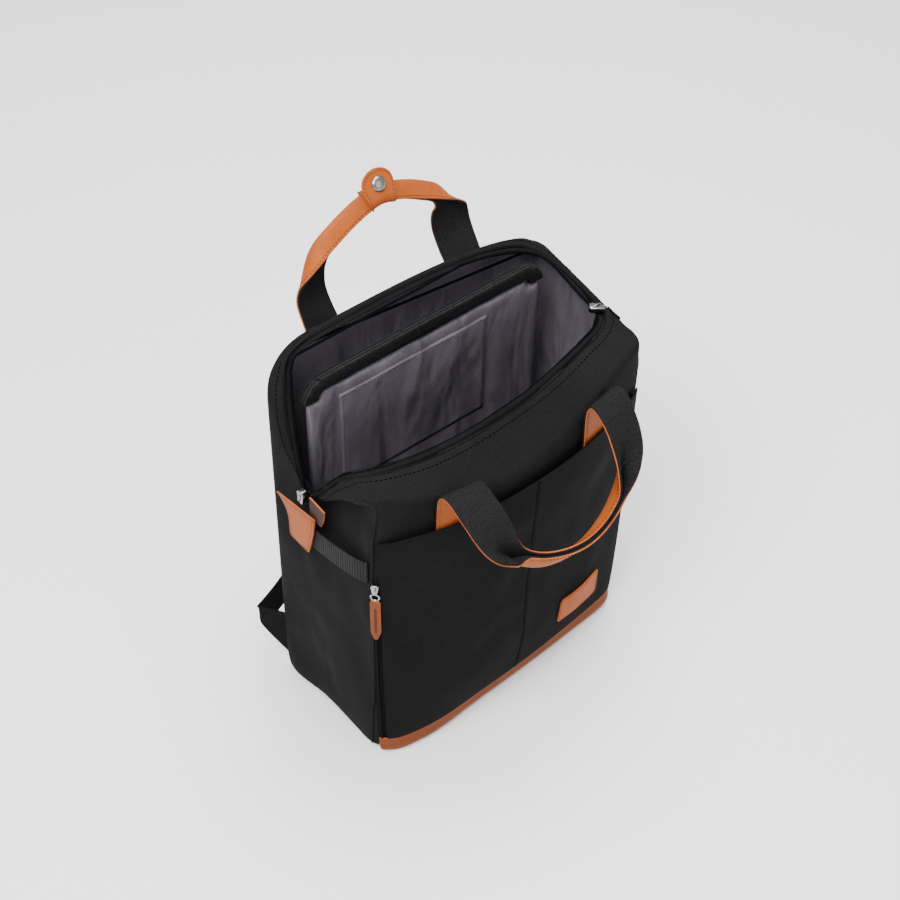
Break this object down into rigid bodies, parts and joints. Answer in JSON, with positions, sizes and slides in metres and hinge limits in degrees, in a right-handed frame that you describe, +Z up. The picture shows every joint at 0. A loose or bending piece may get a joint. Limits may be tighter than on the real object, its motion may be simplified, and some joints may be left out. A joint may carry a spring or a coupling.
{
  "type": "daypack",
  "caption": "Free-standing black daypack with an open zipped mouth, tan leather trim, a front slip pocket, two folded carrying handles and two shoulder straps.",
  "frame": {"origin": "middle of the base, on the floor", "axes": "+X to the right seen from the front, +Y towards the back panel, +Z up"},
  "size_m": [0.3527, 0.2989, 0.5334],
  "materials": {
    "black_cloth": "fine matt weave",
    "grey_lining": "satin lining",
    "black_webbing": "ribbed webbing",
    "zip_tape": "woven tape",
    "tan_leather": "smooth satin",
    "nickel": "polished",
    "black_plastic": "moulded satin"
  },
  "bodies": {
    "root": {"body_shell": "black_cloth", "zip_front": "zip_tape", "zip_back": "zip_tape", "zip_closed_right": "zip_tape", "slider_left": "nickel", "slider_right": "nickel", "front_pocket": "black_cloth", "base_band": "tan_leather", "label_patch": "tan_leather", "front_handle_webbing": "black_webbing", "front_handle_leather": "tan_leather", "back_handle_webbing": "black_webbing", "back_handle_leather": "tan_leather", "keeper": "tan_leather", "snap_cap": "nickel", "side_strap_left": "black_webbing", "side_tab_left": "tan_leather", "side_tab_inner_left": "tan_leather", "side_strap_right": "black_webbing", "side_tab_right": "tan_leather", "side_tab_inner_right": "tan_leather", "pocket_slider": "nickel", "pocket_zip_ring": "nickel", "pocket_pull": "tan_leather", "divider": "grey_lining", "divider_binding": "black_webbing", "organiser_pocket": "grey_lining", "back_pad": "black_cloth", "shoulder_strap_left": "black_cloth", "adjuster_left": "black_plastic", "strap_wing_left": "black_cloth", "strap_webbing_left": "black_webbing", "shoulder_strap_right": "black_cloth", "adjuster_right": "black_plastic", "strap_wing_right": "black_cloth", "strap_webbing_right": "black_webbing"}
  },
  "joints": []
}
